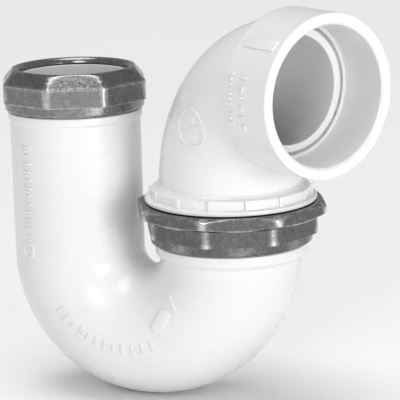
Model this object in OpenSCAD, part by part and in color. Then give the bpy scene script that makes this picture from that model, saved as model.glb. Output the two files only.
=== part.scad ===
// P trap with union, 1-1/2 in size, slip-joint inlet and solvent-weld outlet.
// White plastic J-bend and outlet elbow, two bright die-cast octagon nuts.
// Origin: on the inlet axis, at the top of the slip socket's straight wall,
// under the bevel of the inlet rim. +Z up, +X from the inlet leg towards the
// union leg. Millimetres.

/* [Trap bend] */
// Distance between the inlet axis and the union axis
leg_spacing = 61.8; // [60:0.2:64]
// Outside radius of the trap tube
tube_r = 24.2; // [23.9:0.1:24.4]
// Radius of the waterway
water_r = 19.05; // [18.5:0.05:19.1]
// Height of the start of the bend under the inlet leg, below the rim
bend_start = 62.5; // [60:0.5:66]
// Centreline radius of the half of the bend under the inlet leg
bend_r_in = 28.4; // [27.5:0.1:29]
// Radius of the slip socket that takes the tailpiece
socket_in_r = 19.4; // [19.3:0.05:19.5]
// Depth of the slip socket below the rim
socket_in_depth = 45; // [30:1:50]

/* [Threads] */
// Thread pitch of both nuts
pitch = 2.209; // [2.1:0.001:2.3]
// Thread height
thread_h = 0.9; // [0.8:0.05:0.95]
// Root radius of the inlet male thread
thread_in_r = 22.95; // [22.9:0.05:23]
// Root radius of the union male thread
thread_un_r = 26.45; // [26.4:0.05:26.5]

/* [Inlet slip nut] */
// Radius across the corners of the octagon
nut_in_corner_r = 28.0; // [27.9:0.1:28.6]
// Height of the top of the nut above the rim
nut_in_top = 6; // [5.8:0.1:6.2]
// Depth of the bottom of the nut below the rim
nut_in_low = 9.1; // [8.8:0.1:9.3]
// Radius of the hole for the tailpiece
nut_in_hole_r = 19.75; // [19.5:0.05:20]

/* [Union nut] */
// Radius across the corners of the upper tier
nut_un_corner_r = 35.6; // [35:0.1:36]
// Radius across the corners of the lower tier
nut_un_low_corner_r = 32.1; // [32:0.1:32.4]
// Height of the upper tier
nut_un_tier = 5; // [4.5:0.1:5.5]
// Height of the whole nut
nut_un_h = 14.6; // [14.2:0.1:14.9]

/* [Outlet elbow] */
// Turn of the outlet about the union axis, towards -Y
outlet_turn = 27.8; // [0:0.2:60]
// Centreline radius of the elbow
elbow_r = 37.2; // [36.5:0.1:38]
// Outside radius of the elbow tube
elbow_tube_r = 25.4; // [25:0.1:25.8]
// Outside radius of the hub
hub_r = 28.3; // [28:0.1:28.6]
// Length of the hub
hub_len = 22; // [21:0.5:24]
// Radius of the solvent-weld socket
socket_out_r = 24.2; // [24.15:0.01:24.3]
// Depth of the solvent-weld socket
socket_out_depth = 19.05; // [17.5:0.05:20]
// Number of gusset ribs round the shoulder
rib_count = 14; // [8:1:18]

/* [Hidden] */
$fn = 128;
eps = 0.01;
white = [0.93, 0.93, 0.92];
bright = [0.74, 0.75, 0.76];
black = [0.12, 0.12, 0.12];

// heights in the modules are from the inlet rim; the bevel under the rim is
// this deep, and the whole trap is raised by it, so the socket wall ends at z = 0
bevel = 3.2;
// fall of a drainage elbow, 1/4 in per foot
fall = 1.2;
bend_r_un = leg_spacing - bend_r_in;
zl = -bend_start;                    // left end of the bend
zr = zl - bend_r_in + bend_r_un;     // right end of the bend
// inlet collar below the thread
col_in_top = -9.7;
col_in_low = -12.3;
col_in_r = 24.75;
// union stack, from the top down
un_top = -39.8;                      // top of the union nut
lip_t = 2.2;                         // nut lip thickness
ring_low = un_top + 0.3;             // underside of the elbow shoulder ring
neck_low = -42.2;                    // bottom of the elbow neck
flange_top = un_top - lip_t - 0.3;
flange_low = flange_top - 2.5;
gasket_low = flange_low - 1.6;
rim_un = gasket_low;                 // union face of the J-bend
un_low = un_top - nut_un_h;
col_un_top = un_low - 0.7;
col_un_low = -58.8;
col_un_r = 27.6;
// elbow levels
ring_r = 31.0;
ring_top = -38.0;
step_r = 28.7;
step_top = -34.6;
arc_z = -33.4;                       // start of the elbow arc
end_a = 90 + fall;                   // sweep of the elbow
hub_start = 16.2 - hub_len;          // hub rear, along the outlet axis
hub_end = 16.2;
oct_in = 6;                          // turn of the inlet nut's octagon
oct_un = 6.5;                        // turn of the union nut's octagon
seg = 36;                            // thread facets in a turn

// ---------- shared shapes ----------

// One helical ridge. r0 is the radius of the wall it stands on, dir is 1 for a
// ridge that stands outwards and -1 for one that stands inwards. It fades into
// the wall over a third of a turn at each end.
module ridge(r0, dir, h, p, turns, z0, w0 = 1.3, w1 = 0.5) {
    n = round(turns * seg);
    fade = seg / 3;
    function k(i) = min(1, min(i, n - i) / fade);
    function rc(i) = r0 + dir * (-0.12 + (h + 0.12) * k(i));
    function wc(i) = w0 / 2 + (w1 / 2 - w0 / 2) * k(i);
    rb = r0 - dir * 0.45;
    pts = [for (i = [0:n], c = [[rb, -w0 / 2 - 0.15], [rc(i), -wc(i)],
                                [rc(i), wc(i)], [rb, w0 / 2 + 0.15]])
           let (a = 360 * i / seg)
           [c[0] * cos(a), c[0] * sin(a), z0 + p * i / seg + c[1]]];
    quads = [for (i = [0:n - 1], j = [0:3])
             [4 * i + j, 4 * i + (j + 1) % 4, 4 * (i + 1) + (j + 1) % 4, 4 * (i + 1) + j]];
    tris = [for (q = quads) each (dir > 0
            ? [[q[0], q[1], q[2]], [q[0], q[2], q[3]]]
            : [[q[0], q[2], q[1]], [q[0], q[3], q[2]]])];
    e = 4 * n;
    caps = dir > 0
        ? [[0, 2, 1], [0, 3, 2], [e, e + 1, e + 2], [e, e + 2, e + 3]]
        : [[0, 1, 2], [0, 2, 3], [e, e + 2, e + 1], [e, e + 3, e + 2]];
    polyhedron(points = pts, faces = concat(tris, caps), convexity = 6);
}

// Octagon prism with one corner at the angle turn
module octagon(rc, z0, z1, turn) {
    translate([0, 0, z0]) rotate([0, 0, turn]) cylinder(h = z1 - z0, r = rc, $fn = 8);
}

// Ring of revolution from a list of [radius, height] points
module ring(pts) { rotate_extrude() polygon(pts); }

module tube_solid(r, z0, z1) { translate([0, 0, z0]) cylinder(h = z1 - z0, r = r); }

// The run of the J-bend below the necks, for a tube of radius r
module bend_run(r, z_in, z_un) {
    translate([0, 0, zl]) cylinder(h = z_in - zl, r = r);
    translate([bend_r_in, 0, zl]) rotate([90, 0, 0]) rotate([0, 0, 180])
        rotate_extrude(angle = 90) translate([bend_r_in, 0]) circle(r = r);
    translate([bend_r_in, 0, zr]) rotate([90, 0, 0]) rotate([0, 0, 270])
        rotate_extrude(angle = 90) translate([bend_r_un, 0]) circle(r = r);
    translate([leg_spacing, 0, zr]) cylinder(h = z_un - zr, r = r);
}

// Everything on the union axis, turned so the outlet points along +X
module at_union() { translate([leg_spacing, 0, 0]) rotate([0, 0, -outlet_turn]) children(); }

// The elbow's arc for a tube of radius r
module elbow_arc(r) {
    translate([elbow_r, 0, arc_z]) rotate([-90, 0, 0]) rotate([0, 0, 180])
        rotate_extrude(angle = end_a) translate([elbow_r, 0]) circle(r = r);
}

// A cylinder on the outlet axis, from s0 to s1 past the end of the arc
module outlet_cyl(r0, r1, s0, s1) {
    translate([elbow_r, 0, arc_z]) rotate([0, end_a - 90, 0])
        translate([s0, 0, elbow_r]) rotate([0, 90, 0]) cylinder(h = s1 - s0, r1 = r0, r2 = r1);
}

// ---------- sub-parts ----------

// J-bend: slip-joint inlet, tube, union end
module trap_bend() {
    color(white) difference() {
        union() {
            bend_run(tube_r, col_in_top + 0.5, col_un_low + 1.6);
            // inlet neck, thread and collar
            ring([[socket_in_r - 1, -14], [thread_in_r, -14], [thread_in_r, -0.5],
                  [thread_in_r - 0.5, 0], [socket_in_r - 1, 0]]);
            ridge(thread_in_r, 1, thread_h, pitch, 3, -8.5);
            ring([[socket_in_r - 1, col_in_low], [tube_r - 0.3, col_in_low - 0.9], [col_in_r, col_in_low],
                  [col_in_r, col_in_top - 0.4], [col_in_r - 0.4, col_in_top], [socket_in_r - 1, col_in_top]]);
            // union neck, thread and collar
            translate([leg_spacing, 0, 0]) {
                ring([[18, -60], [thread_un_r - 2, -60], [thread_un_r, col_un_top - 1], [thread_un_r, rim_un - 0.6],
                      [thread_un_r - 0.6, rim_un], [18, rim_un]]);
                ridge(thread_un_r, 1, thread_h, pitch, 2.67, -54.0);
                ring([[18, col_un_low], [tube_r - 0.2, col_un_low - 3.4], [tube_r + 0.6, col_un_low - 1.2],
                      [col_un_r - 0.5, col_un_low], [col_un_r, col_un_low + 0.5], [col_un_r, col_un_top - 0.5],
                      [col_un_r - 0.5, col_un_top], [18, col_un_top]]);
            }
        }
        // waterway
        bend_run(water_r, -socket_in_depth + 1, zr + 1);
        translate([leg_spacing, 0, zr]) cylinder(h = rim_un - zr + 1, r = water_r);
        tube_solid(socket_in_r, -socket_in_depth, 1);
        // bevel for the slip washer
        translate([0, 0, -bevel]) cylinder(h = bevel + eps, r1 = socket_in_r, r2 = 22.0 + eps);
    }
}

// Outlet elbow: neck, shoulder ring with gussets, tube and hub
module trap_elbow() {
    color(white) at_union() difference() {
        union() {
            ring([[21, neck_low], [24.2, neck_low], [24.2, ring_low], [ring_r - 0.3, ring_low],
                  [ring_r, ring_low + 0.3], [ring_r, ring_top - 0.6], [ring_r - 0.6, ring_top],
                  [step_r + 0.35, ring_top], [step_r, ring_top + 0.35], [step_r, step_top - 0.5],
                  [step_r - 0.5, step_top], [elbow_tube_r + 0.7, step_top + 0.3],
                  [elbow_tube_r, step_top + 0.9], [21, step_top + 0.9]]);
            tube_solid(elbow_tube_r, ring_top, arc_z);
            for (i = [0:rib_count - 1]) rotate([0, 0, -78.9 + 360 * i / rib_count])
                translate([step_r - 2.2, -0.8, ring_top - 0.3]) cube([3.0, 1.6, step_top - ring_top + 0.1]);
            elbow_arc(elbow_tube_r);
            outlet_cyl(elbow_tube_r, elbow_tube_r, 0, hub_end - 5);
            outlet_cyl(hub_r, hub_r, hub_start + 0.8, hub_end - 0.8);
            outlet_cyl(hub_r - 0.8, hub_r, hub_start, hub_start + 0.8);
            outlet_cyl(hub_r, hub_r - 0.8, hub_end - 0.8, hub_end);
        }
        tube_solid(21.65, neck_low - 1, -34);
        tube_solid(water_r, -36, arc_z);
        elbow_arc(water_r);
        outlet_cyl(water_r, water_r, 0, hub_end);
        outlet_cyl(socket_out_r, socket_out_r, hub_end - socket_out_depth, hub_end + 1);
        outlet_cyl(socket_out_r, socket_out_r + 0.9, hub_end - 0.9, hub_end + eps);
    }
}

// Flanged sleeve welded into the elbow's neck, under the nut's lip
module union_flange_sleeve() {
    color(white) translate([leg_spacing, 0, 0]) ring([
        [water_r, flange_low], [26.2, flange_low], [26.4, flange_low + 0.2], [26.4, flange_top - 0.4],
        [26.0, flange_top], [21.6, flange_top], [21.6, -34.3], [21.3, -34.1], [water_r, -34.1]]);
}

// Flat elastomer ring between the sleeve and the J-bend
module union_gasket() {
    color(black) translate([leg_spacing, 0, 0]) ring([
        [19.6, gasket_low], [26.0, gasket_low], [26.0, flange_low], [19.6, flange_low]]);
}

// Two-tier octagon union nut
module union_nut() {
    top = un_top;
    mid = un_top - nut_un_tier;
    low = un_low;
    cf = nut_un_corner_r * cos(22.5);
    cl = nut_un_low_corner_r * cos(22.5);
    color(bright) translate([leg_spacing, 0, 0]) difference() {
        union() {
            intersection() {
                octagon(nut_un_corner_r, mid, top, oct_un);
                ring([[0, mid], [cf - 0.3, mid], [cf + 0.4, mid + 0.6], [nut_un_corner_r - 0.5, mid + 1.2],
                      [nut_un_corner_r - 0.2, mid + 1.7], [nut_un_corner_r - 0.2, top - 2.4],
                      [nut_un_corner_r - 0.7, top - 1.8], [cf + 0.5, top - 0.8], [31.6, top], [0, top]]);
            }
            intersection() {
                octagon(nut_un_low_corner_r, low, mid + 0.5, oct_un);
                ring([[0, low], [28.9, low], [29.2, low + 0.3], [cl + 0.2, low + 2.6], [nut_un_low_corner_r - 0.4, low + 3.9],
                      [nut_un_low_corner_r - 0.4, mid + 0.5], [0, mid + 0.5]]);
            }
        }
        tube_solid(24.6, low - 1, top + 1);
        tube_solid(27.65, low - 1, top - lip_t);
        translate([0, 0, low - eps]) cylinder(h = 0.8, r1 = 28.4, r2 = 27.6);
    }
    color(bright) translate([leg_spacing, 0, 0]) intersection() {
        ridge(27.65, -1, thread_h, pitch, 3, -54.0 + pitch / 2);
        tube_solid(28.2, low + 0.4, top - 3);
    }
}

// Domed octagon slip nut on the inlet
module inlet_slip_nut() {
    top = nut_in_top;
    low = -nut_in_low;
    bore = thread_in_r + thread_h + 0.3;
    dome = top - 4.9;                    // foot of the chamfer over the flats
    color(bright) difference() {
        intersection() {
            union() {
                // round skirt, octagon, octagon chamfer
                ring([[0, low], [25.3, low], [25.6, low + 0.3], [25.6, low + 3.6], [0, low + 3.6]]);
                octagon(nut_in_corner_r, low + 3.3, dome, oct_in);
                translate([0, 0, dome]) rotate([0, 0, oct_in])
                    cylinder(h = 4.9, r1 = nut_in_corner_r, r2 = nut_in_corner_r - 4.1, $fn = 8);
            }
            ring([[0, low - 1], [nut_in_corner_r - 0.2, low - 1], [nut_in_corner_r - 0.2, dome - 0.2],
                  [25.6, top - 2.4], [24.4, top - 1.2], [23.2, top - 0.4], [22.0, top], [0, top]]);
        }
        tube_solid(nut_in_hole_r, low - 1, top + 1);
        // rounded mouth
        ring([[0, top - 1.9], [nut_in_hole_r, top - 1.9], [nut_in_hole_r + 0.2, top - 1.2],
              [nut_in_hole_r + 0.8, top - 0.5], [21.2, top - 0.1], [21.9, top + eps], [0, top + eps]]);
        // seat for the washer, and the threaded bore
        tube_solid(22.95, low - 1, top - 2.3);
        tube_solid(bore, low - 1, 0.4);
        translate([0, 0, low - eps]) cylinder(h = 0.8, r1 = 24.9, r2 = bore - 0.05);
    }
    color(bright) intersection() {
        ridge(bore, -1, thread_h, pitch, 3.33, -8.5 + pitch / 2);
        tube_solid(24.7, low + 0.4, 0.7);
    }
}

// Tapered slip-joint washer
module inlet_slip_washer() {
    color(white) ring([[19.2, -2.6], [19.5, -2.6], [22.0, 0.45], [22.6, 1.0], [22.6, 3.2],
                       [22.4, 3.4], [19.4, 3.4], [19.2, 3.2]]);
}

// Brings the foot of the inlet bevel to z = 0
module placed() { translate([0, 0, bevel]) children(); }

placed() trap_bend();
placed() trap_elbow();
placed() union_flange_sleeve();
placed() union_gasket();
placed() union_nut();
placed() inlet_slip_nut();
placed() inlet_slip_washer();
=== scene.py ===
import math

import bpy
import numpy as np
from mathutils import Matrix, Vector


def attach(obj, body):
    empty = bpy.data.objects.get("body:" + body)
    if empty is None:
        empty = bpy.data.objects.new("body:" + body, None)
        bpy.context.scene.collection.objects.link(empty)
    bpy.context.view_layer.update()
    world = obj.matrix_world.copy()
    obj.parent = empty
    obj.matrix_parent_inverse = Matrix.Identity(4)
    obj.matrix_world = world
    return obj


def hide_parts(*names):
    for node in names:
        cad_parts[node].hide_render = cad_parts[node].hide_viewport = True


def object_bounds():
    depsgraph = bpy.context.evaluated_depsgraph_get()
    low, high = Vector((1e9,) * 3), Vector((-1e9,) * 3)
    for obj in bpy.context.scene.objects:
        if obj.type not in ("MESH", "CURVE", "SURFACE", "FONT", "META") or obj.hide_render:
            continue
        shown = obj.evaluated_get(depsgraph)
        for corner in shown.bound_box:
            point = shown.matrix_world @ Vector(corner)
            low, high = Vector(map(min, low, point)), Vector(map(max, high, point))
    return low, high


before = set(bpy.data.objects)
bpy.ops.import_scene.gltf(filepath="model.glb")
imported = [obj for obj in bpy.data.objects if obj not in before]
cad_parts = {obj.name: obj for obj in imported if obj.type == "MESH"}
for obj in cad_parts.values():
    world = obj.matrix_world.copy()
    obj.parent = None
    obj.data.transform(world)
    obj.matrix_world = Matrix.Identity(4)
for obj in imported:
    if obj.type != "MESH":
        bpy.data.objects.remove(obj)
cad_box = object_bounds()

# Heights here are in millimetres from the inlet rim; the CAD frame's origin is
# RISE below it. X, Y as in the CAD frame. Everything is turned to metres by m().
RISE = 3.2
LEG = 61.8            # inlet axis to union axis
PITCH = 2.209
TURN = math.radians(27.8)   # outlet turned towards -Y
FALL = math.radians(1.2)
PI = math.pi


def m(v):
    return (np.asarray(v, float) + np.array([0.0, 0.0, RISE])) / 1000.0


def smooth01(x):
    x = np.clip(x, 0, 1)
    return x * x * (3 - 2 * x)


# ------------------------------------------------------------ mesh helpers

class Shape:
    """Collects closed shells and turns them into one mesh object."""

    def __init__(self):
        self.v, self.f, self.mat, self.attr, self.n = [], [], [], [], 0

    def add(self, verts, faces, mat=0, attr=None):
        verts = np.asarray(verts, float).reshape(-1, 3)
        for f in faces if isinstance(faces, list) else [faces]:
            if len(f):
                self.f.append(np.asarray(f, int) + self.n)
                self.mat.append(mat)
        self.attr.append(np.zeros(len(verts)) if attr is None
                         else np.broadcast_to(np.asarray(attr, float).reshape(-1), (len(verts),)))
        self.v.append(verts)
        self.n += len(verts)

    def build(self, name, materials, angle=38.0):
        v = m(np.concatenate(self.v))
        me = bpy.data.meshes.new(name)
        counts = np.concatenate([np.full(len(f), f.shape[1]) for f in self.f])
        loops = np.concatenate([f.reshape(-1) for f in self.f])
        mats = np.concatenate([np.full(len(f), k) for f, k in zip(self.f, self.mat)])
        me.vertices.add(len(v))
        me.vertices.foreach_set("co", v.astype(np.float32).reshape(-1))
        me.loops.add(len(loops))
        me.loops.foreach_set("vertex_index", loops.astype(np.int32))
        me.polygons.add(len(counts))
        starts = np.concatenate([[0], np.cumsum(counts)[:-1]])
        me.polygons.foreach_set("loop_start", starts.astype(np.int32))
        me.polygons.foreach_set("loop_total", counts.astype(np.int32))
        me.polygons.foreach_set("material_index", mats.astype(np.int32))
        me.polygons.foreach_set("use_smooth", np.ones(len(counts), bool))
        me.update(calc_edges=True)
        me.validate()
        # Per-vertex edge mask for the plating: partly wear, partly painted highlight on the nuts' edges and corners.
        a = me.attributes.new("edge_wear_and_highlight", "FLOAT", "POINT")
        a.data.foreach_set("value", np.concatenate(self.attr).astype(np.float32))
        for mt in materials:
            me.materials.append(mt)
        me.set_sharp_from_angle(angle=math.radians(angle))
        ob = bpy.data.objects.new(name, me)
        bpy.context.scene.collection.objects.link(ob)
        return ob


def loop_faces(M, N, wrap=True):
    """Quads of an M by N grid that closes round N, and round M if wrap."""
    i = np.arange(M if wrap else M - 1)
    j = np.arange(N)
    I, J = np.meshgrid(i, j, indexing="ij")
    a = I * N + J
    b = I * N + (J + 1) % N
    c = ((I + 1) % M) * N + (J + 1) % N
    d = ((I + 1) % M) * N + J
    return np.stack([a, b, c, d], -1).reshape(-1, 4)


def outward(P, F):
    """F, turned so that the closed shell's volume is positive."""
    a, b, c = P[F[:, 0]], P[F[:, 1]], P[F[:, 2]]
    vol = np.einsum("ij,ij->i", a, np.cross(b, c)).sum()
    if F.shape[1] == 4:
        a, b, c = P[F[:, 0]], P[F[:, 2]], P[F[:, 3]]
        vol += np.einsum("ij,ij->i", a, np.cross(b, c)).sum()
    return F if vol > 0 else F[:, ::-1]


def round_corners(points, step=18.0):
    """Closed or open polyline of (x, y, radius): each corner becomes an arc."""
    out = []
    n = len(points)
    for k in range(n):
        p0, p1, p2 = points[k - 1], points[k], points[(k + 1) % n]
        a = np.array(p0[:2], float) - p1[:2]
        b = np.array(p2[:2], float) - p1[:2]
        la, lb = np.linalg.norm(a), np.linalg.norm(b)
        r = p1[2] if len(p1) > 2 else 0
        if r <= 0 or la < 1e-9 or lb < 1e-9:
            out.append(tuple(p1[:2]))
            continue
        a, b = a / la, b / lb
        ang = math.acos(float(np.clip(a @ b, -1, 1)))
        if ang > math.radians(178):
            out.append(tuple(p1[:2]))
            continue
        t = min(r / math.tan(ang / 2), 0.48 * la, 0.48 * lb)
        s, e = np.array(p1[:2]) + a * t, np.array(p1[:2]) + b * t
        k2 = max(2, int(round(math.degrees(PI - ang) / step)))
        for q in range(k2 + 1):
            u = q / k2
            w = (1 - u) ** 2 * s + 2 * u * (1 - u) * (np.array(p1[:2])) * 1.0 + u * u * e
            out.append((float(w[0]), float(w[1])))
    return out


def open_round(points, step=18.0):
    """round_corners for an open polyline: the two ends stay sharp."""
    pts = [tuple(points[0][:2]) + (0,)] + list(points[1:-1]) + [tuple(points[-1][:2]) + (0,)]
    return round_corners(pts, step)


def resample(poly, gap):
    """Adds points to an open polyline so that no step is longer than gap(x, y)."""
    out = [poly[0]]
    for p in poly[1:]:
        q = out[-1]
        d = math.hypot(p[0] - q[0], p[1] - q[1])
        g = gap(0.5 * (p[0] + q[0]), 0.5 * (p[1] + q[1]))
        k = max(1, int(math.ceil(d / g - 1e-9)))
        for i in range(1, k + 1):
            out.append((q[0] + (p[0] - q[0]) * i / k, q[1] + (p[1] - q[1]) * i / k))
    return out


def ring_shell(profile, n=160, centre=(0.0, 0.0)):
    """Closed solid of revolution about a vertical axis from (r, z) points."""
    P = np.array(profile, float)
    th = np.arange(n) * 2 * PI / n
    X = P[:, :1] * np.cos(th) + centre[0]
    Y = P[:, :1] * np.sin(th) + centre[1]
    Z = np.repeat(P[:, 1:2], n, axis=1)
    G = np.stack([X, Y, Z], -1)
    V = G.reshape(-1, 3)
    return V, outward(V, loop_faces(len(P), n))


def bezier_corner(A, X, B, k=4):
    """k + 1 rings from A to B that round off the corner X, each an (N, 3) array."""
    return [(1 - u) ** 2 * A + 2 * u * (1 - u) * X + u * u * B for u in np.linspace(0, 1, k + 1)]


def unit(v):
    return v / np.maximum(np.linalg.norm(v, axis=-1, keepdims=True), 1e-12)


def around(n, marks=(), width=0.028):
    """Angles round a tube: n even steps, with a few more at each mark."""
    base = np.arange(n) * 2 * PI / n
    extra = []
    for mk in marks:
        base = base[np.abs((base - mk + PI) % (2 * PI) - PI) > width * 1.15]
        extra += [mk + width * s for s in (-1, -0.62, -0.34, -0.16, 0, 0.16, 0.34, 0.62, 1)]
    return np.sort(np.concatenate([base, np.array(extra) % (2 * PI)])) if extra else base


def trapezoid(x, h, w0, w1):
    """Ridge of height h: half widths w0 at the foot and w1 at the top, softly rounded."""
    y = (w0 - np.abs(x)) / (w0 - w1)
    return h * smooth01(np.clip(y, 0, 1)) ** 0.8


def helix(z, a, z0, turns, h, w0=0.72, w1=0.22, fade=1 / 3):
    """Height of a right-hand thread ridge at height z and world angle a."""
    a = a % (2 * PI)
    best = np.zeros(np.broadcast(z, a).shape)
    for k in range(-1, int(math.ceil(turns)) + 1):
        u = a / (2 * PI) + k
        zc = z0 + PITCH * u
        amp = np.clip(np.minimum(u, turns - u) / fade, 0, 1)
        best = np.maximum(best, amp * trapezoid(z - zc, h, w0, w1))
    return best


# ------------------------------------------------------------ materials

def new_material(name):
    mt = bpy.data.materials.new(name)
    mt.use_nodes = True
    nt = mt.node_tree
    for nd in list(nt.nodes):
        nt.nodes.remove(nd)
    out = nt.nodes.new("ShaderNodeOutputMaterial")
    bsdf = nt.nodes.new("ShaderNodeBsdfPrincipled")
    nt.links.new(bsdf.outputs[0], out.inputs[0])
    return mt, nt, bsdf


def noise_node(nt, scale, detail=2.0, rough=0.5, distort=0.0):
    tc = nt.nodes.get("coords") or nt.nodes.new("ShaderNodeTexCoord")
    tc.name = "coords"
    nd = nt.nodes.new("ShaderNodeTexNoise")
    nd.inputs["Scale"].default_value = scale
    nd.inputs["Detail"].default_value = detail
    nd.inputs["Roughness"].default_value = rough
    nd.inputs["Distortion"].default_value = distort
    nt.links.new(tc.outputs["Object"], nd.inputs["Vector"])
    return nd


def ramp(nt, src, stops):
    nd = nt.nodes.new("ShaderNodeValToRGB")
    e = nd.color_ramp.elements
    while len(e) < len(stops):
        e.new(0.5)
    for el, (pos, col) in zip(e, stops):
        el.position = pos
        el.color = (*col, 1.0) if len(col) == 3 else col
    nt.links.new(src, nd.inputs[0])
    return nd.outputs[0]


def mapped(nt, src, lo, hi, a=0.35, b=0.65):
    nd = nt.nodes.new("ShaderNodeMapRange")
    nd.inputs[1].default_value, nd.inputs[2].default_value = a, b
    nd.inputs[3].default_value, nd.inputs[4].default_value = lo, hi
    nt.links.new(src, nd.inputs[0])
    return nd.outputs[0]


def bump_chain(nt, bsdf, items):
    """items: (height socket, strength, distance). Stacked from the first on."""
    last = None
    for src, strength, dist in items:
        b = nt.nodes.new("ShaderNodeBump")
        b.inputs["Strength"].default_value = strength
        b.inputs["Distance"].default_value = dist
        nt.links.new(src, b.inputs["Height"])
        if last is not None:
            nt.links.new(last, b.inputs["Normal"])
        last = b.outputs[0]
    nt.links.new(last, bsdf.inputs["Normal"])


def white_plastic(name, base=0.77, rough=(0.235, 0.30), tint=(1.0, 1.0, 0.992)):
    mt, nt, bsdf = new_material(name)
    big = noise_node(nt, 20.0, 1.0, 0.4)
    fine = noise_node(nt, 900.0, 2.0, 0.55)
    flow = noise_node(nt, 48.0, 2.0, 0.45)
    lo = tuple(c * (base - 0.02) for c in tint)
    hi = tuple(c * (base + 0.015) for c in tint)
    nt.links.new(ramp(nt, big.outputs[0], [(0.3, lo), (0.7, hi)]), bsdf.inputs["Base Color"])
    nt.links.new(mapped(nt, flow.outputs[0], rough[0], rough[1]), bsdf.inputs["Roughness"])
    bump_chain(nt, bsdf, [(big.outputs[0], 0.08, 0.0006), (flow.outputs[0], 0.03, 0.0002),
                          (fine.outputs[0], 0.05, 0.00003)])
    bsdf.inputs["IOR"].default_value = 1.5
    bsdf.inputs["Coat Weight"].default_value = 0.12
    bsdf.inputs["Coat Roughness"].default_value = 0.12
    return mt


def plated_casting(name, base=0.24):
    mt, nt, bsdf = new_material(name)
    blotch = noise_node(nt, 420.0, 4.0, 0.62, 0.4)
    mottle = noise_node(nt, 1100.0, 3.0, 0.6, 0.3)
    fine = noise_node(nt, 3600.0, 2.0, 0.6)
    slow = noise_node(nt, 45.0, 2.0, 0.5, 0.4)
    at = nt.nodes.new("ShaderNodeAttribute")
    at.attribute_name = "edge_wear_and_highlight"
    body = ramp(nt, blotch.outputs[0], [(0.30, (base * 0.82,) * 3), (0.52, (base,) * 3), (0.72, (base * 1.22,) * 3)])
    spots = ramp(nt, mottle.outputs[0], [(0.35, (0.80, 0.80, 0.81)), (0.6, (1.08, 1.08, 1.08))])
    mul = nt.nodes.new("ShaderNodeMix")
    mul.data_type, mul.blend_type = "RGBA", "MULTIPLY"
    mul.inputs[0].default_value = 1.0
    nt.links.new(body, mul.inputs[6])
    nt.links.new(spots, mul.inputs[7])
    # The edge mask turns the plating pale grey on the nut's edges and corners: partly rubbed wear, partly a painted
    # highlight where those edges catch the light.
    worn_and_lit = nt.nodes.new("ShaderNodeMix")
    worn_and_lit.data_type = "RGBA"
    worn_and_lit.inputs[7].default_value = (0.80, 0.80, 0.79, 1)
    wear_and_highlight = nt.nodes.new("ShaderNodeMath")
    wear_and_highlight.operation = "MULTIPLY"
    nt.links.new(at.outputs["Fac"], wear_and_highlight.inputs[0])
    nt.links.new(mapped(nt, blotch.outputs[0], 0.35, 1.0), wear_and_highlight.inputs[1])
    nt.links.new(wear_and_highlight.outputs[0], worn_and_lit.inputs[0])
    nt.links.new(mul.outputs[2], worn_and_lit.inputs[6])
    nt.links.new(worn_and_lit.outputs[2], bsdf.inputs["Base Color"])
    bsdf.inputs["Metallic"].default_value = 1.0
    nt.links.new(mapped(nt, mottle.outputs[0], 0.12, 0.28), bsdf.inputs["Roughness"])
    bump_chain(nt, bsdf, [(slow.outputs[0], 0.22, 0.0009), (blotch.outputs[0], 0.12, 0.00016),
                          (mottle.outputs[0], 0.18, 0.00006), (fine.outputs[0], 0.10, 0.00002)])
    return mt


def rubber(name):
    mt, nt, bsdf = new_material(name)
    a = noise_node(nt, 700.0, 3.0, 0.6)
    nt.links.new(ramp(nt, a.outputs[0], [(0.3, (0.018, 0.018, 0.018)), (0.7, (0.032, 0.032, 0.031))]),
                 bsdf.inputs["Base Color"])
    nt.links.new(mapped(nt, a.outputs[0], 0.55, 0.75), bsdf.inputs["Roughness"])
    bump_chain(nt, bsdf, [(a.outputs[0], 0.25, 0.00005)])
    return mt


WHITE = white_plastic("white_pvc")
WASHER = white_plastic("soft_washer_plastic", base=0.74, rough=(0.38, 0.52), tint=(1.0, 0.995, 0.97))
METAL = plated_casting("plated_die_casting", 0.23)
# Same plating with a lower base colour: painted shade that makes the union nut look darker than the slip nut.
METAL_SHADED = plated_casting("plated_die_casting_shaded", 0.145)
BLACK = rubber("black_elastomer")

# ------------------------------------------------------------ J-bend

R_IN, R_UN = 28.4, LEG - 28.4      # centreline radii of the two halves of the bend
Z_L = -62.5
Z_R = Z_L - R_IN + R_UN
WATER = 19.05
RIM_UN = -46.4

TB = around(144, (0.0, PI), 0.030)
CB, SB = np.cos(TB), np.sin(TB)


def part_line(theta, r, h=0.14, w=0.24):
    """Raised line left by the mould halves, at theta 0 and pi."""
    d0 = ((theta + PI) % (2 * PI) - PI) * r
    d1 = (((theta - PI) + PI) % (2 * PI) - PI) * r
    return h * (np.exp(-(d0 / w) ** 2) + np.exp(-(d1 / w) ** 2))


def leg_ring(z, r):
    """A ring on the inlet axis. z may vary round the ring."""
    z = np.broadcast_to(np.asarray(z, float), TB.shape)
    return np.stack([r * CB, r * SB, z], -1)


def union_ring(z, r):
    """A ring on the union axis, with theta 0 facing the inlet leg."""
    z = np.broadcast_to(np.asarray(z, float), TB.shape)
    return np.stack([LEG - r * CB, r * SB, z], -1)


def bend_ring(phi, r):
    """A ring of the U at the angle phi from the inlet leg, phi may vary round the ring."""
    phi = np.broadcast_to(np.asarray(phi, float), TB.shape)
    first = phi <= PI / 2
    R = np.where(first, R_IN, R_UN)
    zc = np.where(first, Z_L, Z_R)
    x = R_IN - (R - r * CB) * np.cos(phi)
    z = zc - (R - r * CB) * np.sin(phi)
    return np.stack([x, r * SB, z], -1)


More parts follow.
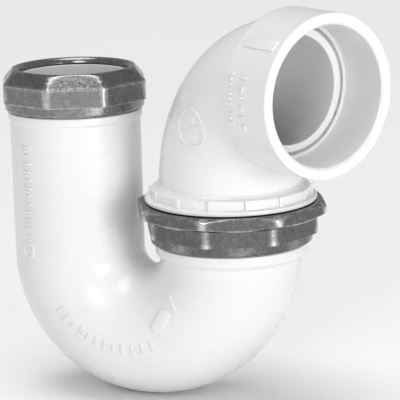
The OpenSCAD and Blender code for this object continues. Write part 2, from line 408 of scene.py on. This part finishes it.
def build_bend():
    outer = []
    # inlet end: rim, thread root, collar, neck. (depth below the rim, radius)
    prof = open_round([(0.0, 22.25), (0.0, 22.5, 0.12), (0.45, 22.95, 0.3), (9.7, 22.95, 0.3),
                       (9.7, 24.75, 0.45), (12.3, 24.75, 0.5), (13.05, 24.02, 0.7), (20.0, 24.03)], 15)
    prof = resample(prof, lambda t, r: 0.15 if t < 9.2 and r < 23.5 else 0.9)
    for t, r in prof:
        rr = r + (helix(-t, TB, -8.5, 3.0, 0.9) if t < 9.6 and r < 23.2 else 0)
        outer.append(leg_ring(-t, rr + (part_line(TB, r) * smooth01((t - 13.3) / 1.5))))
    for t in np.linspace(20.0, 62.5, 22)[1:]:
        r = 24.03 + 0.05 * (t - 20) / 42.5
        outer.append(leg_ring(-t, r + part_line(TB, r)))
    for p in np.linspace(0, PI / 2, 34)[1:]:
        outer.append(bend_ring(p, 24.08 + part_line(TB, 24.2)))
    # right half of the U, swelling towards the union, cut by the collar's underside
    z_cut = -60.35

    def r_tube(p):
        return 24.08 + 1.07 * smooth01((p - PI * 0.56) / (PI * 0.40))

    r_end = 25.15
    psi = np.arcsin(np.clip((Z_R - z_cut) / (R_UN - r_end * CB), -1, 1))
    phi_end = PI - psi
    steps = np.linspace(0, 1, 40)[1:]
    p0 = PI / 2
    rings = []
    for k, u in enumerate(steps):
        p = p0 + (phi_end - p0) * u
        rings.append(bend_ring(p, r_tube(p) + part_line(TB, 24.6) * (1.0 if u < 0.97 else 0.0)))
    corner = rings[-1]
    low = union_ring(-58.95, 27.0)
    A = corner + unit(rings[-2] - corner) * 0.7
    B = corner + unit(low - corner) * 0.7
    rings = rings[:-1] + bezier_corner(A, corner, B, 4)
    outer += rings
    prof = open_round([(-60.0, 25.6), (-58.95, 27.0, 0.2), (-58.75, 27.35, 0.3), (-58.3, 27.6, 0.3),
                       (-55.1, 27.6, 0.45), (-55.1, 26.45, 0.3), (-46.85, 26.45, 0.3),
                       (-46.4, 26.0, 0.15), (-46.4, 25.0)], 15)[1:]
    prof = resample(prof, lambda z, r: 0.15 if z > -54.9 and r < 26.8 else 0.8)
    for z, r in prof:
        a = PI - TB
        rr = r + (helix(z, a, -54.0, 2.67, 0.9) if z > -54.95 and r < 26.7 else 0)
        outer.append(union_ring(z, rr))
    # inside, back from the union rim to the inlet
    inner = []
    prof = open_round([(-46.4, 22.0), (-46.4, WATER, 0.5), (-50.0, WATER), (Z_R, WATER)], 20)
    prof = resample(prof, lambda z, r: 1.6)
    for z, r in prof:
        inner.append(union_ring(z, r))
    for p in np.linspace(PI, 0, 72)[1:]:
        inner.append(bend_ring(p, WATER))
    prof = open_round([(62.5, WATER), (45.0, WATER, 0.15), (45.0, 19.4, 0.15), (3.2, 19.4, 0.3),
                       (0.15, 21.85, 0.2), (0.0, 22.25)], 20)
    prof = resample(prof, lambda t, r: 2.5)
    for t, r in prof[1:]:
        inner.append(leg_ring(-t, r))
    G = np.stack(outer + inner[:-1])
    V = G.reshape(-1, 3)
    F = outward(V, loop_faces(len(G), len(TB)))
    return V, F


def on_leg(a, z, r=24.08):
    """Point and outward direction on the inlet leg at world angle a."""
    d = np.array([math.cos(a), math.sin(a), 0.0])
    return d * r + np.array([0, 0, z]), d


def on_bend(phi, th):
    """Point and outward direction on the U."""
    first = phi <= PI / 2
    R, zc = (R_IN, Z_L) if first else (R_UN, Z_R)
    r = 24.2 if first else 24.2 + 0.95 * float(smooth01((phi - PI * 0.56) / (PI * 0.40)))
    e1 = np.array([math.cos(phi), 0, math.sin(phi)])
    c = np.array([R_IN - R * math.cos(phi), 0, zc - R * math.sin(phi)])
    d = e1 * math.cos(th) + np.array([0, math.sin(th), 0])
    return c + d * r, d


# ------------------------------------------------------------ raised marks

def outline_bar(length, width, n=8):
    """Outline of a bar with round ends, centred, long in x."""
    h, l = width / 2, max(length / 2 - width / 2, 0.0)
    a = np.linspace(-PI / 2, PI / 2, n)
    right = np.stack([l + h * np.cos(a), h * np.sin(a)], -1)
    left = -right
    k = max(0, int(length / 1.2))
    mid = np.linspace(l, -l, k + 2)[1:-1]
    top = np.stack([mid, np.full(k, h)], -1)
    bot = -top
    return np.concatenate([right, top, left, bot])


def outline_box(length, width, r=0.25, n=4):
    l, h = length / 2 - r, width / 2 - r
    pts = []
    for cx, cy, a0 in ((l, -h, -90), (l, h, 0), (-l, h, 90), (-l, -h, 180)):
        for a in np.radians(np.linspace(a0, a0 + 90, n)):
            pts.append((cx + r * math.cos(a), cy + r * math.sin(a)))
    return np.array(pts)


def inset(outline, d):
    """Outline moved in by d along its own normals."""
    p0, p2 = np.roll(outline, 1, 0), np.roll(outline, -1, 0)
    t = unit(p2 - p0)
    nrm = np.stack([-t[:, 1], t[:, 0]], -1)
    return outline + nrm * d


def pad(shape, surface, outline, high=0.45, deep=0.5, bevel=0.18):
    """A raised pad. surface((N, 2) local mm) gives points and directions."""
    P, D = surface(outline)
    loops = [P - D * deep, P + D * (high - bevel)]
    for u in (0.35, 0.7, 1.0):
        o = inset(outline, bevel * (1 - math.cos(u * PI / 2)))
        Q, E = surface(o)
        loops.append(Q + E * (high - bevel + bevel * math.sin(u * PI / 2)))
    n = len(outline)
    o = inset(outline, bevel)
    c2 = o.mean(0)[None]
    C, CD = surface(c2)
    Cb, CbD = surface(outline.mean(0)[None])
    V = np.concatenate(loops + [C + CD * high, Cb - CbD * deep])
    F4 = loop_faces(len(loops), n, wrap=False)
    top = (len(loops) - 1) * n
    j = np.arange(n)
    T = np.stack([top + j, top + (j + 1) % n, np.full(n, len(loops) * n)], -1)
    B = np.stack([(j + 1) % n, j, np.full(n, len(loops) * n + 1)], -1)
    tri = np.concatenate([T, B])
    # one orientation for both, from the quads and triangles together
    vol = 0.0
    for f in (F4[:, [0, 1, 2]], F4[:, [0, 2, 3]], tri):
        vol += np.einsum("ij,ij->i", V[f[:, 0]], np.cross(V[f[:, 1]], V[f[:, 2]])).sum()
    if vol < 0:
        F4, tri = F4[:, ::-1], tri[:, ::-1]
    shape.add(V, [F4, tri])


def ring_pad(shape, surface, outer, inner, high=0.4, deep=0.5, bevel=0.15):
    """A raised ring between two outlines with the same number of points."""
    loops = []
    for o, s in ((outer, 1), (inner, -1)):
        P, D = surface(o)
        a = [P - D * deep, P + D * (high - bevel)]
        for u in (0.5, 1.0):
            q = inset(o, s * bevel * (1 - math.cos(u * PI / 2)))
            Q, E = surface(q)
            a.append(Q + E * (high - bevel + bevel * math.sin(u * PI / 2)))
        loops += a if s > 0 else a[::-1]
    V = np.concatenate(loops)
    F = loop_faces(len(loops), len(outer))
    shape.add(V, outward(V, F))


def local_leg(a0, z0, rot=0.0, r=24.08):
    """Local (x along the mark, y across it) on the inlet leg, centred at (a0, z0)."""
    c, s = math.cos(rot), math.sin(rot)

    def f(q):
        u = q[:, 0] * c - q[:, 1] * s
        w = q[:, 0] * s + q[:, 1] * c
        a = a0 + u / r
        D = np.stack([np.cos(a), np.sin(a), np.zeros_like(a)], -1)
        return D * r + np.stack([np.zeros_like(a), np.zeros_like(a), z0 + w], -1), D
    return f


def local_bend(phi0, th0, rot=0.0):
    """Local patch on the U, centred at (phi0, th0). x runs along the tube."""
    c, s = math.cos(rot), math.sin(rot)
    R = R_IN if phi0 <= PI / 2 else R_UN
    rr = 24.2 if phi0 <= PI / 2 else 24.2 + 0.95 * float(smooth01((phi0 - PI * 0.56) / (PI * 0.40)))
    along = R - rr * math.cos(th0)

    def f(q):
        u = q[:, 0] * c - q[:, 1] * s
        w = q[:, 0] * s + q[:, 1] * c
        P, D = [], []
        for a, b in zip(u, w):
            p, d = on_bend(phi0 + a / along, th0 + b / rr)
            P.append(p)
            D.append(d)
        return np.array(P), np.array(D)
    return f


# ------------------------------------------------------------ elbow

RE, ARC_Z = 37.2, -33.4
END_A = PI / 2 + FALL
HUB_R, HUB_END, HUB_LOW = 28.3, 16.2, -5.8
SOCKET_R, SOCKET_DEEP = 24.2, 19.05
TE = around(144, (0.0, PI), 0.030)
CE, SE = np.cos(TE), np.sin(TE)
OUT = np.array([math.cos(FALL), 0, -math.sin(FALL)])         # outlet axis, local
OUT_UP = np.array([math.sin(FALL), 0, math.cos(FALL)])
ARC_END = np.array([RE + RE * math.sin(FALL), 0, ARC_Z + RE * math.cos(FALL)])


def place(P):
    """Elbow's own frame, outlet along +X, to the row frame."""
    c, s = math.cos(TURN), math.sin(TURN)
    P = np.asarray(P, float)
    return np.stack([LEG + P[..., 0] * c + P[..., 1] * s, -P[..., 0] * s + P[..., 1] * c, P[..., 2]], -1)


def neck_ring(z, r):
    """Ring on the union axis, theta 0 towards the outlet."""
    z = np.broadcast_to(np.asarray(z, float), TE.shape)
    return np.stack([r * CE, r * SE, z], -1)


def arc_ring(phi, r):
    phi = np.broadcast_to(np.asarray(phi, float), TE.shape)
    rad = RE - r * CE
    return np.stack([RE - rad * np.cos(phi), r * SE, ARC_Z + rad * np.sin(phi)], -1)


def hub_ring(s, r):
    """Ring on the outlet axis, s past the end of the arc, theta 0 underneath."""
    s = np.broadcast_to(np.asarray(s, float), TE.shape)
    return (ARC_END + s[:, None] * OUT - (r * CE)[:, None] * OUT_UP
            + (r * SE)[:, None] * np.array([0, 1.0, 0]))


def cut_phi(s, r):
    """Arc angle round the ring where the tube of radius r meets the plane at s."""
    return END_A - np.arcsin(np.clip(-s / (RE - r * CE), -1, 1))


def build_elbow():
    outer = []
    prof = open_round([(22.9, -42.2), (24.2, -42.2, 0.3), (24.2, -39.5, 0.25), (30.9, -39.5, 0.25),
                       (31.0, -38.75, 0.3), (30.9, -38.0, 0.5), (28.8, -38.0, 0.45), (28.65, -34.75, 0.6),
                       (26.5, -34.35, 0.6), (25.62, -33.4, 0.6), (25.6, -31.0)], 14)
    prof = resample(prof, lambda r, z: 0.8)
    base = [neck_ring(z, r) for r, z in prof if z < -33.45]
    outer += base

    def r_tube(p):
        return 25.6 - 0.2 * smooth01(p / math.radians(48))

    ce = cut_phi(HUB_LOW, 25.4)
    rings = []
    for u in np.linspace(0, 1, 46):
        p = ce * u
        rings.append(arc_ring(p, r_tube(p) + part_line(TE, 25.5, 0.17, 0.26) * (1.0 if u < 0.975 else 0.0)))
    corner = rings[-1]
    lip = hub_ring(HUB_LOW, HUB_R - 0.8)
    A = corner + unit(rings[-2] - corner) * 0.8
    B = corner + unit(lip - corner) * 0.8
    outer += rings[:-1] + bezier_corner(A, corner, B, 4)
    prof = open_round([(HUB_LOW, 27.0), (HUB_LOW, HUB_R - 0.06, 0.7), (4.0, HUB_R - 0.05), (HUB_END, HUB_R - 0.06, 1.3),
                       (HUB_END, 26.6)], 14)[1:]
    prof = resample(prof, lambda s, r: 1.2)
    for s, r in prof:
        pl = part_line(TE, 28.3, 0.07, 0.28) * smooth01((s - HUB_LOW - 0.8) / 0.8) * smooth01((HUB_END - 0.9 - s) / 0.8)
        outer.append(hub_ring(s, r + pl))
    inner = []
    prof = open_round([(HUB_END, 26.6), (HUB_END, SOCKET_R + 0.9, 0.3), (HUB_END - 0.9, SOCKET_R + 0.02, 0.4),
                       (HUB_END - SOCKET_DEEP, SOCKET_R, 0.3), (HUB_END - SOCKET_DEEP, 20.5)], 18)[1:]
    prof = resample(prof, lambda s, r: 1.6)
    for s, r in prof:
        inner.append(hub_ring(s, r))
    s_stop = HUB_END - SOCKET_DEEP
    ci = cut_phi(s_stop, WATER)
    rings = [arc_ring(ci * u, WATER) for u in np.linspace(1, 0, 40)]
    corner = rings[0]
    A = corner + unit(inner[-1] - corner) * 0.35
    B = corner + unit(rings[1] - corner) * 0.35
    inner = inner[:-1] + [hub_ring(s_stop, r) for r in (23.0, 21.5, 20.2)] + bezier_corner(A, corner, B, 3) + rings[1:]
    prof = open_round([(WATER, -33.4), (WATER, -34.0, 0.1), (21.65, -34.0, 0.2), (21.65, -42.2, 0.3), (22.9, -42.2)], 20)
    prof = resample(prof, lambda r, z: 1.5)
    for r, z in prof[1:-1]:
        inner.append(neck_ring(z, r))
    G = np.stack(outer + inner)
    V = G.reshape(-1, 3)
    F = outward(V, loop_faces(len(G), len(TE)))
    return V, F


def local_hub(th0, s0, rot=0.0, r=28.3):
    """Local patch on the hub: x runs round it, y along the outlet axis."""
    c, s_ = math.cos(rot), math.sin(rot)

    def f(q):
        u = q[:, 0] * c - q[:, 1] * s_
        w = q[:, 0] * s_ + q[:, 1] * c
        th = th0 + u / r
        D = -np.cos(th)[:, None] * OUT_UP + np.sin(th)[:, None] * np.array([0, 1.0, 0])
        P = ARC_END + (s0 + w)[:, None] * OUT + D * r
        return place(P), place(D) - place(np.zeros(3))
    return f


def local_arc(phi0, th0, rot=0.0):
    """Local patch on the elbow's arc: x runs along the tube, y round it."""
    c, s_ = math.cos(rot), math.sin(rot)
    r0 = 25.6 - 0.2 * float(smooth01(phi0 / math.radians(48)))
    along = RE - r0 * math.cos(th0)

    def f(q):
        u = q[:, 0] * c - q[:, 1] * s_
        w = q[:, 0] * s_ + q[:, 1] * c
        phi = phi0 + u / along
        th = th0 + w / r0
        r = 25.6 - 0.2 * smooth01(phi / math.radians(48))
        D = np.stack([np.cos(th) * np.cos(phi), np.sin(th), -np.cos(th) * np.sin(phi)], -1)
        C = np.stack([RE - RE * np.cos(phi), np.zeros_like(phi), ARC_Z + RE * np.sin(phi)], -1)
        return place(C + D * r[:, None]), place(D) - place(np.zeros(3))
    return f


def rib(shape, ang):
    """A gusset rib beside the shoulder step, at local angle ang."""
    w, r0, r1, z0, z1 = 0.8, 26.4, 29.5, -38.35, -34.85
    b = 0.3
    # section in (r, z), rounded on the outer side, extruded across
    sec = round_corners([(r0, z0, 0), (r1, z0, 0), (r1, z1 + 0.5, 0.5), (r1 - 0.5, z1, 0.5), (r0, z1, 0)], 22)
    sec = np.array(sec)
    c, s = math.cos(ang), math.sin(ang)
    cen = sec.mean(0)
    loops = []
    for off, ins in ((-w, b), (-w + b * 0.3, b * 0.3), (-w + b, 0), (w - b, 0), (w - b * 0.3, b * 0.3), (w, b)):
        q = cen + (sec - cen) * (1 - ins / 2.2)
        q[:, 0] = np.where(sec[:, 0] > r0 + 0.01, q[:, 0], sec[:, 0])
        loops.append(np.stack([q[:, 0] * c - off * s, q[:, 0] * s + off * c, q[:, 1]], -1))
    n = len(sec)
    V = np.concatenate(loops + [np.array([[cen[0] * c + w * s, cen[0] * s - w * c, cen[1]],
                                          [cen[0] * c - w * s, cen[0] * s + w * c, cen[1]]])])
    F4 = loop_faces(len(loops), n, wrap=False)
    j = np.arange(n)
    L = len(loops)
    T = np.concatenate([np.stack([(j + 1) % n, j, np.full(n, L * n)], -1),
                        np.stack([(L - 1) * n + j, (L - 1) * n + (j + 1) % n, np.full(n, L * n + 1)], -1)])
    V = place(V)
    vol = 0.0
    for f in (F4[:, [0, 1, 2]], F4[:, [0, 2, 3]], T):
        vol += np.einsum("ij,ij->i", V[f[:, 0]], np.cross(V[f[:, 1]], V[f[:, 2]])).sum()
    if vol < 0:
        F4, T = F4[:, ::-1], T[:, ::-1]
    shape.add(V, [F4, T])


# ------------------------------------------------------------ nuts

def oct_radius(th, flat, turn, power=64.0):
    """Radius of an octagon with softly rounded corners; a corner points to turn."""
    tot = 0.0
    for k in range(8):
        c = np.cos(th - turn - PI / 8 - k * PI / 4)
        tot = tot + np.clip(c, 0, None) ** power
    return flat / tot ** (1 / power)


def soft_min(a, b, power=90.0):
    m0 = np.minimum(a, b)
    return m0 * ((a / m0) ** -power + (b / m0) ** -power) ** (-1 / power)


def build_inlet_nut():
    n = 448
    th = np.arange(n) * 2 * PI / n
    turn = math.radians(6)
    low, top, dome = -9.1, 6.0, 1.1
    oc = np.minimum(oct_radius(th, 28.0 * math.cos(PI / 8), turn, 150), 27.72)
    corner = np.exp(-((oc - oc.max()) / 0.30) ** 2)
    # The per-ring mask lightens the plating on the octagon corners and along the dome's lower edge: partly rubbed wear,
    # partly painted highlight.
    rings, wear_and_highlight = [], []

    def put(rr, z, w=0.0):
        rr = np.broadcast_to(rr, th.shape)
        rings.append(np.stack([rr * np.cos(th), rr * np.sin(th), np.broadcast_to(z, th.shape)], -1))
        wear_and_highlight.append(np.clip(np.broadcast_to(w, th.shape), 0, 1))

    # round skirt
    for r, z in resample(open_round([(24.9, low), (25.3, low, 0.2), (25.6, low + 0.35, 0.3), (25.6, low + 3.2)], 12),
                         lambda r, z: 0.5):
        put(r, z, 0.15 if z < low + 0.5 else 0.0)
    # ledge out to the octagon, with a small round
    for u in (0.0, 0.5, 0.85):
        put(25.6 + (oc - 0.2 - 25.6) * u, low + 3.3, 0.1)
    for u in (0.35, 0.7, 1.0):
        put(oc - 0.2 + 0.2 * math.sin(u * PI / 2), low + 3.5 - 0.2 * math.cos(u * PI / 2), 0.45)
    for z in np.linspace(low + 3.5, dome - 0.25, 15)[1:]:
        near = math.exp(-((z - dome) / 0.45) ** 2)
        put(oc, z, 0.5 * corner + 0.5 * near)
    # octagon chamfer that blends into the round crest
    for z in np.linspace(dome - 0.1, top, 34):
        t = (z - dome) / 4.9
        o = oc * (1 - 4.1 / 28.0 * max(t, 0.0))
        crest = np.interp(z, [dome - 1, dome + 1.6, top - 2.4, top - 1.2, top - 0.45, top - 0.12, top],
                          [29.0, 27.2, 25.6, 24.4, 23.3, 22.5, 21.9])
        rr = soft_min(np.full(n, crest), o, 160.0)
        near = math.exp(-((z - dome) / 0.45) ** 2)
        put(rr, z, 0.55 * near + 0.35 * corner * (1 - t))
    inner = open_round([(21.9, top), (21.2, top - 0.08, 0.6), (20.5, top - 0.5, 0.8), (19.95, top - 1.2, 0.8),
                        (19.75, top - 1.9, 0.4), (19.75, top - 2.3, 0.1), (22.95, top - 2.3, 0.3), (22.95, 0.45, 0.3),
                        (24.15, 0.35, 0.3), (24.15, low + 0.8, 0.2), (24.9, low, 0.1)], 12)[1:]
    inner = resample([(21.9, top)] + inner, lambda r, z: 0.16 if r > 24.0 and z < 0.5 else 0.7)[1:-1]
    for r, z in inner:
        rr = np.full(n, float(r))
        if r > 24.0 and low + 0.5 < z < 0.4:
            rr = rr - helix(z, th, -8.5 + PITCH / 2, 3.33 * 1.6, 0.9) * smooth01((z - low - 0.6) / 0.7) * smooth01((0.3 - z) / 0.6)
        put(rr, z)
    G = np.stack(rings)
    V = G.reshape(-1, 3)
    return V, outward(V, loop_faces(len(G), n)), np.stack(wear_and_highlight).reshape(-1)


def build_union_nut():
    n = 344
    th = np.arange(n) * 2 * PI / n
    turn = math.radians(6.5)
    top, mid, low = -39.8, -44.8, -54.4
    cu, cl = 35.6, 32.1
    fu, fl = cu * math.cos(PI / 8), cl * math.cos(PI / 8)
    ou = np.minimum(oct_radius(th, fu, turn, 130), cu - 0.28)
    ol = np.minimum(oct_radius(th, fl, turn, 150), cl - 0.22)
    # lower tier then upper tier, from the bottom up
    lower = open_round([(28.3, low), (28.9, low, 0.25), (29.2, low + 0.35, 0.3), (29.25, low + 3.3, 0.2),
                        (cl - 0.3, low + 3.45, 0.25), (cl, low + 3.7, 0.2), (cl, mid + 0.1, 0.2), (cl + 0.01, mid + 0.12)], 8)
    lower = resample(lower, lambda r, z: 0.26)
    upper = open_round([(cl, mid + 0.02), (fu - 0.3, mid + 0.02, 0.15), (fu + 0.4, mid + 0.62, 0.5),
                        (cu - 0.3, mid + 1.25, 0.5), (cu, mid + 1.8, 0.5), (cu, top - 1.6, 0.6), (cu - 0.6, top - 1.1, 0.6),
                        (fu + 0.4, top - 0.35, 0.5), (fu - 0.3, top - 0.06, 0.4), (30.4, top)], 8)
    upper = resample(upper, lambda r, z: 0.24)
    # The per-ring mask lightens the plating on the tier edges and octagon corners: partly rubbed wear, partly painted
    # highlight.
    rings, wear_and_highlight = [], []

    def put(rr, z, w):
        rings.append(np.stack([LEG + rr * np.cos(th), rr * np.sin(th), np.broadcast_to(z, th.shape)], -1))
        wear_and_highlight.append(w)

    for r, z in lower:
        rr = soft_min(np.full(n, r), ol, 260.0) if r > 29.3 else np.full(n, r)
        near = np.exp(-((r - ol) / 0.55) ** 2)
        corner = np.exp(-((ol - ol.max()) / 0.30) ** 2)
        put(rr, z, np.clip(0.5 * near * (z < low + 5) + 0.5 * corner * (r > fl), 0, 1))
    # ledge under the upper tier: out from the lower tier's own outline
    start = soft_min(np.full(n, cl), ol, 260.0)
    first = soft_min(np.full(n, fu - 0.3), ou, 260.0)
    for u in (0.2, 0.45, 0.7, 0.9):
        put(start + (first - start) * u, mid + 0.02 * u, np.zeros(n))
    for r, z in upper[1:]:
        if r < fu - 0.31 and z < mid + 0.5:
            continue
        rr = soft_min(np.full(n, r), ou, 260.0) if r > 31.7 else np.full(n, r)
        near = np.exp(-((r - ou) / 0.6) ** 2)
        corner = np.exp(-((ou - ou.max()) / 0.35) ** 2)
        put(rr, z, np.clip(0.6 * near + 0.5 * corner * (r > fu), 0, 1))
    inner = open_round([(30.4, top), (24.6, top, 0.3), (24.6, top - 2.2, 0.2), (27.65, top - 2.2, 0.3),
                        (27.65, low + 0.8, 0.2), (28.3, low)], 14)[1:]
    inner = resample([(30.4, top)] + inner, lambda r, z: 0.16 if r > 27.5 and z < top - 2.6 else 0.8)[1:-1]
    for r, z in inner:
        rr = np.full(n, float(r))
        if r > 27.5 and low + 0.5 < z < top - 2.9:
            rr = rr - helix(z, th, -54.0 + PITCH / 2, 3.0 * 1.8, 0.9) * smooth01((z - low - 0.6) / 0.7) * smooth01((top - 3.0 - z) / 0.6)
        put(rr, z, np.zeros(n))
    G = np.stack(rings)
    V = G.reshape(-1, 3)
    return V, outward(V, loop_faces(len(G), n)), np.stack(wear_and_highlight).reshape(-1)


# ------------------------------------------------------------ make the pieces

bend = Shape()
V, F = build_bend()
bend.add(V, F)

# raised moulding marks: plain bars and rings, no lettering
for k in range(13):
    z0 = -21.0 - 3.0 * k
    w = (4.8, 3.0, 4.8, 3.8, 4.8)[k % 5]
    pad(bend, local_leg(4.33, z0), outline_bar(w, 0.85), 0.46, 0.4, 0.14)
    if k % 3 != 1:
        pad(bend, local_leg(4.33, z0 - 1.4), outline_bar(0.75 + 0.5 * (k % 2), 0.7), 0.44, 0.4, 0.14)
circ = np.stack([np.cos(np.arange(28) * 2 * PI / 28), np.sin(np.arange(28) * 2 * PI / 28)], -1)
ring_pad(bend, local_leg(4.30, -59.6), circ * 3.0, circ * 2.2, 0.46, 0.4, 0.14)
for k in range(12):
    p0 = 0.62 + 0.118 * k
    w = (4.2, 4.2, 2.8, 4.2, 3.4)[k % 5]
    pad(bend, local_bend(p0, 4.635, PI / 2), outline_bar(w, 0.85), 0.46, 0.4, 0.14)
    if k % 3 == 0:
        pad(bend, local_bend(p0 + 0.05, 4.64), outline_bar(1.3, 0.65), 0.44, 0.4, 0.14)
pad(bend, local_bend(2.16, 4.93, 0.5), outline_box(9.6, 4.8, 2.2, 6), 0.62, 0.6, 0.3)
pad(bend, local_bend(2.46, 5.03, 1.2), outline_bar(6.4, 0.9), 0.48, 0.4, 0.16)
BEND = bend.build("j_bend", [WHITE])
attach(BEND, "bend")
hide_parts("trap_bend")

elbow = Shape()
V, F = build_elbow()
V = place(V)
elbow.add(V, outward(V, F))
for k in range(14):
    rib(elbow, math.radians(-78.9) + 2 * PI * k / 14)
# raised moulding marks: a disc outline with a bar, two rows of bars, a pad, a nub
ring_pad(elbow, local_arc(0.733, 4.765), circ * 7.0, circ * 6.25, 0.50, 0.5, 0.16)
pad(elbow, local_arc(0.72, 4.77, 0.5), outline_bar(8.6, 0.9), 0.48, 0.4, 0.16)
pad(elbow, local_arc(0.80, 4.74, -1.0), outline_bar(4.4, 0.8), 0.46, 0.4, 0.16)
for row, s0 in ((0, -2.6), (1, 3.6)):
    for k in range(6):
        w = (2.6, 1.5, 2.4, 2.8, 1.6, 2.4)[(k + 2 * row) % 6]
        pad(elbow, local_hub(4.40 + 0.118 * k + 0.02 * row, s0, PI / 2), outline_bar(w + 0.6, 0.75), 0.44, 0.4, 0.14)
        if k % 2 == row:
            pad(elbow, local_hub(4.455 + 0.118 * k, s0 + 0.8), outline_bar(1.5, 0.65), 0.42, 0.4, 0.14)
pad(elbow, local_hub(3.975, 5.6), outline_box(4.4, 15.0, 0.6, 4), 0.34, 0.5, 0.15)
pad(elbow, local_arc(0.60, 3.62), circ * 1.7, 0.7, 0.5, 0.35)
ELBOW = elbow.build("outlet_elbow", [WHITE])
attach(ELBOW, "elbow")
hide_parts("trap_elbow")

nut = Shape()
V, F, W = build_inlet_nut()
nut.add(V, F, 0, W)
NUT_IN = nut.build("slip_nut", [METAL], 50)
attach(NUT_IN, "inlet_nut")
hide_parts("inlet_slip_nut")

nut = Shape()
V, F, W = build_union_nut()
nut.add(V, F, 0, W)
NUT_UN = nut.build("union_ring_nut", [METAL_SHADED], 50)
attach(NUT_UN, "union_ring")
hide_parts("union_nut")

wash = Shape()
wash.add(*ring_shell(round_corners([(19.2, -2.6, 0.1), (19.5, -2.6, 0.1), (22.0, 0.45, 0.5), (22.6, 1.0, 0.3),
                                    (22.6, 3.4, 0.3), (19.2, 3.4, 0.35)], 15), 192))
WASH = wash.build("slip_washer", [WASHER])
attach(WASH, "inlet_washer")
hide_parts("inlet_slip_washer")

gas = Shape()
gas.add(*ring_shell(round_corners([(19.6, -46.36, 0.3), (26.0, -46.36, 0.3), (26.0, -44.8, 0.3), (19.6, -44.8, 0.3)], 20),
                    192, (LEG, 0)))
GAS = gas.build("union_seal_ring", [BLACK])
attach(GAS, "union_seal")
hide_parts("union_gasket")

slv = Shape()
slv.add(*ring_shell(round_corners([(WATER, -44.74, 0.2), (26.4, -44.74, 0.3), (26.4, -42.3, 0.4), (21.6, -42.3, 0.3),
                                   (21.6, -34.1, 0.4), (WATER, -34.1, 0.15)], 18), 192, (LEG, 0)))
SLV = slv.build("flanged_sleeve", [WHITE])
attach(SLV, "elbow")
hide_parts("union_flange_sleeve")

# ------------------------------------------------------------ floor, light, camera

lowest = cad_box[0][2] if hasattr(cad_box[0], "__len__") else min(b[2] for b in cad_box)


def floor_material():
    mt, nt, bsdf = new_material("studio_floor")
    a = noise_node(nt, 3.0, 2.0)
    nt.links.new(ramp(nt, a.outputs[0], [(0.3, (0.90, 0.90, 0.90)), (0.7, (0.92, 0.92, 0.92))]),
                 bsdf.inputs["Base Color"])
    bsdf.inputs["Roughness"].default_value = 0.9
    return mt


fm = bpy.data.meshes.new("floor")
k = 96
rad = [0.25, 0.6, 1.2, 2.5, 6.0]
fv = [(0.0, 0.0, 0.0)] + [(r * math.cos(2 * PI * i / k), r * math.sin(2 * PI * i / k), 0.0) for r in rad for i in range(k)]
ff = [(0, 1 + i, 1 + (i + 1) % k) for i in range(k)]
for q in range(len(rad) - 1):
    ff += [(1 + q * k + i, 1 + (q + 1) * k + i, 1 + (q + 1) * k + (i + 1) % k, 1 + q * k + (i + 1) % k) for i in range(k)]
fm.from_pydata(fv, [], ff)
fm.materials.append(floor_material())
FLOOR = bpy.data.objects.new("floor", fm)
FLOOR.location = (0.04, 0, lowest - 0.0002)
bpy.context.scene.collection.objects.link(FLOOR)

world = bpy.data.worlds.new("studio")
bpy.context.scene.world = world
world.use_nodes = True
wn = world.node_tree
for nd in list(wn.nodes):
    wn.nodes.remove(nd)
wo = wn.nodes.new("ShaderNodeOutputWorld")
wb = wn.nodes.new("ShaderNodeBackground")
wb.inputs[0].default_value = (1, 1, 1, 1)
wb.inputs[1].default_value = 0.40
wn.links.new(wb.outputs[0], wo.inputs[0])


def area(name, loc, aim, size, power, size_y=None):
    L = bpy.data.lights.new(name, "AREA")
    L.shape = "RECTANGLE"
    L.size, L.size_y = size, size_y or size
    L.energy = power
    o = bpy.data.objects.new(name, L)
    o.location = loc
    d = Vector(aim) - Vector(loc)
    o.rotation_euler = d.to_track_quat("-Z", "Y").to_euler()
    bpy.context.scene.collection.objects.link(o)
    return o


area("key", (0.24, -0.92, 0.36), (0.05, 0, -0.04), 0.40, 2.2)
area("fill", (0.84, -0.46, 0.06), (0.11, -0.03, 0.0), 0.3, 3.4)
sun = bpy.data.lights.new("overhead", "SUN")
sun.energy = 1.55
sun.angle = math.radians(42)
SUN = bpy.data.objects.new("overhead", sun)
SUN.rotation_euler = Vector((0.04, 0.04, -1.0)).to_track_quat("-Z", "Y").to_euler()
bpy.context.scene.collection.objects.link(SUN)

cam = bpy.data.cameras.new("camera")
cam.lens = 180.0
cam.sensor_width = 36.0
cam.sensor_fit = "HORIZONTAL"
cam.clip_start, cam.clip_end = 0.02, 30.0
CAM = bpy.data.objects.new("camera", cam)
bpy.context.scene.collection.objects.link(CAM)
az, el, dist, roll = math.radians(24.5), math.radians(12.5375), 723.76, math.radians(-1.4963)
d = Vector((math.sin(az) * math.cos(el), -math.cos(az) * math.cos(el), math.sin(el)))
target = Vector((49.5954, 0.0, -41.2))
loc = target + d * dist
right = (-d).cross(Vector((0, 0, 1))).normalized()
up = right.cross(-d).normalized()
r2 = math.cos(roll) * right + math.sin(roll) * up
u2 = -math.sin(roll) * right + math.cos(roll) * up
M = Matrix((r2, u2, d)).transposed().to_4x4()
M.translation = Vector(m(loc).tolist())
CAM.matrix_world = M
bpy.context.scene.camera = CAM
bpy.context.scene.view_settings.view_transform = "Standard"
